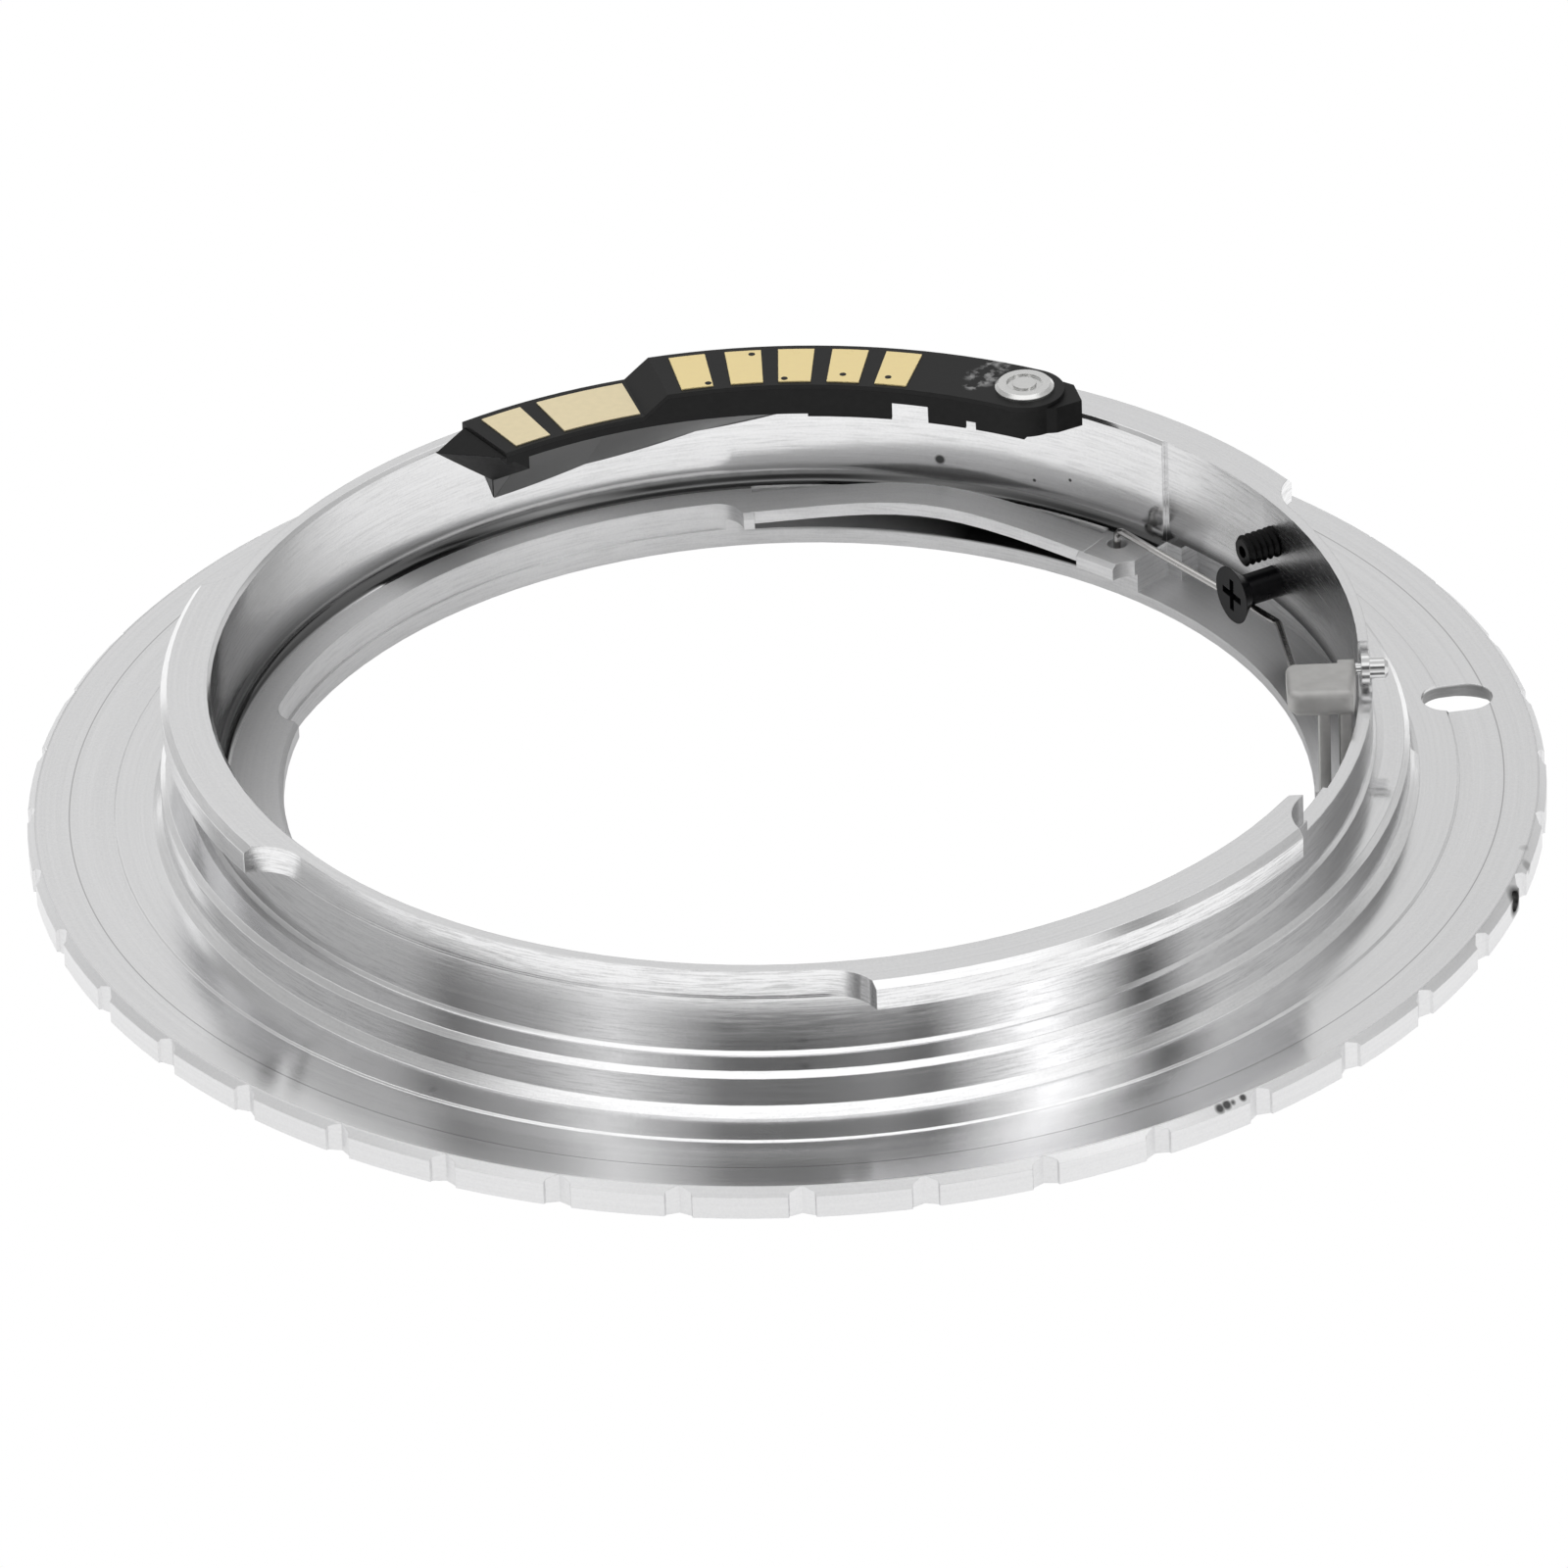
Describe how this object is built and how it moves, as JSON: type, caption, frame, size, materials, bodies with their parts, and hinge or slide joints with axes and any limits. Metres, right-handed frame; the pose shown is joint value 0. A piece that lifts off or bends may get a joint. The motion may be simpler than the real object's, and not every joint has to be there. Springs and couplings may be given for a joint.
{
  "type": "lens mount adapter",
  "caption": "Slim machined ring that fits a lens bayonet to a camera bayonet, with a glued contact block with gold pads and a sprung lens lock.",
  "frame": {"origin": "on the ring's axis, in the camera seat face at the foot of the pilot", "axes": "+Z along the optical axis towards the camera, with the bayonet collar up; +X towards the lens lock, and the contact block is on +Y"},
  "size_m": [0.065, 0.065, 0.0104],
  "materials": {
    "ring_metal": "turned and milled, bright",
    "chip_black": "moulded matt",
    "board_black": "matt solder mask",
    "pad_gold": "gold plated, satin",
    "rivet_metal": "turned",
    "glue_grey": "cured filled glue, smooth",
    "bolt_metal": "blasted, satin",
    "pin_metal": "polished",
    "wire_metal": "drawn spring wire",
    "screw_black": "black oxide",
    "circuit_black": "moulded",
    "capacitor_tan": "ceramic"
  },
  "bodies": {
    "ring": {"adapter_ring": "ring_metal", "chip_base": "chip_black", "chip_board": "board_black", "contact_pad_1": "pad_gold", "contact_pad_2": "pad_gold", "contact_pad_3": "pad_gold", "contact_pad_4": "pad_gold", "contact_pad_5": "pad_gold", "contact_pad_6": "pad_gold", "contact_pad_7": "pad_gold", "chip_rivet": "rivet_metal", "adhesive_bead": "glue_grey", "wire_spring": "wire_metal", "spring_screw": "screw_black", "stop_screw": "screw_black", "chip_controller": "circuit_black", "chip_capacitor": "capacitor_tan", "chip_resistor": "circuit_black"},
    "latch": {"latch_bolt": "bolt_metal", "release_pin": "pin_metal"}
  },
  "joints": [
    {"name": "bolt_lift", "type": "slide", "parent": "ring", "child": "latch", "axis": [0, 0, 1], "range_m": [0, 0.0013], "stiffness_N_per_m": 400, "springref_m": -0.002, "deforming": ["wire_spring"]}
  ]
}
